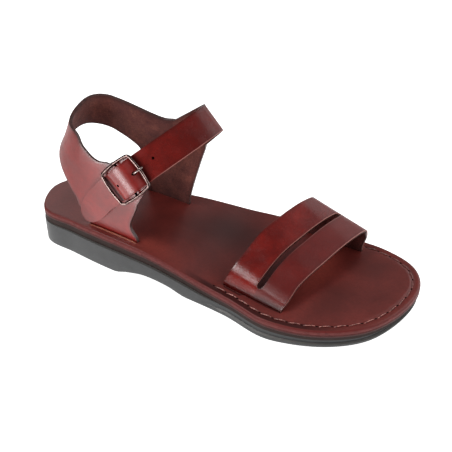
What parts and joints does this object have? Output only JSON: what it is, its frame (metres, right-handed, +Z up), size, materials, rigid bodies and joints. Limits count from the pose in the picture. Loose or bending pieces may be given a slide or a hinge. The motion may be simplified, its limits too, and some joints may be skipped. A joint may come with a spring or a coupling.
{
  "type": "leather sandal",
  "caption": "Flat leather sandal for the right foot with a slotted toe band, a one-piece heel and instep strap fastened by a wire buckle on the outer side, and a low-heeled rubber sole",
  "frame": {"origin": "centre of the bounding box at the floor", "axes": "+X from heel to toe, +Y to the inner side of the foot, +Z up"},
  "size_m": [0.2801, 0.1103, 0.1148],
  "materials": {
    "rubber_black": "satin moulded rubber",
    "band_matte": "matte",
    "footbed_leather": "smooth, waxed",
    "toe_band_leather": "smooth, glossy",
    "back_upper_leather": "smooth, glossy outside, napped inside",
    "buckle_metal": "dark polished",
    "prong_metal": "dark polished"
  },
  "bodies": {
    "root": {"outsole": "rubber_black", "midsole": "band_matte", "insole": "footbed_leather", "front_strap": "toe_band_leather", "back_upper": "back_upper_leather", "buckle_frame": "buckle_metal", "buckle_prong": "prong_metal"}
  },
  "joints": []
}
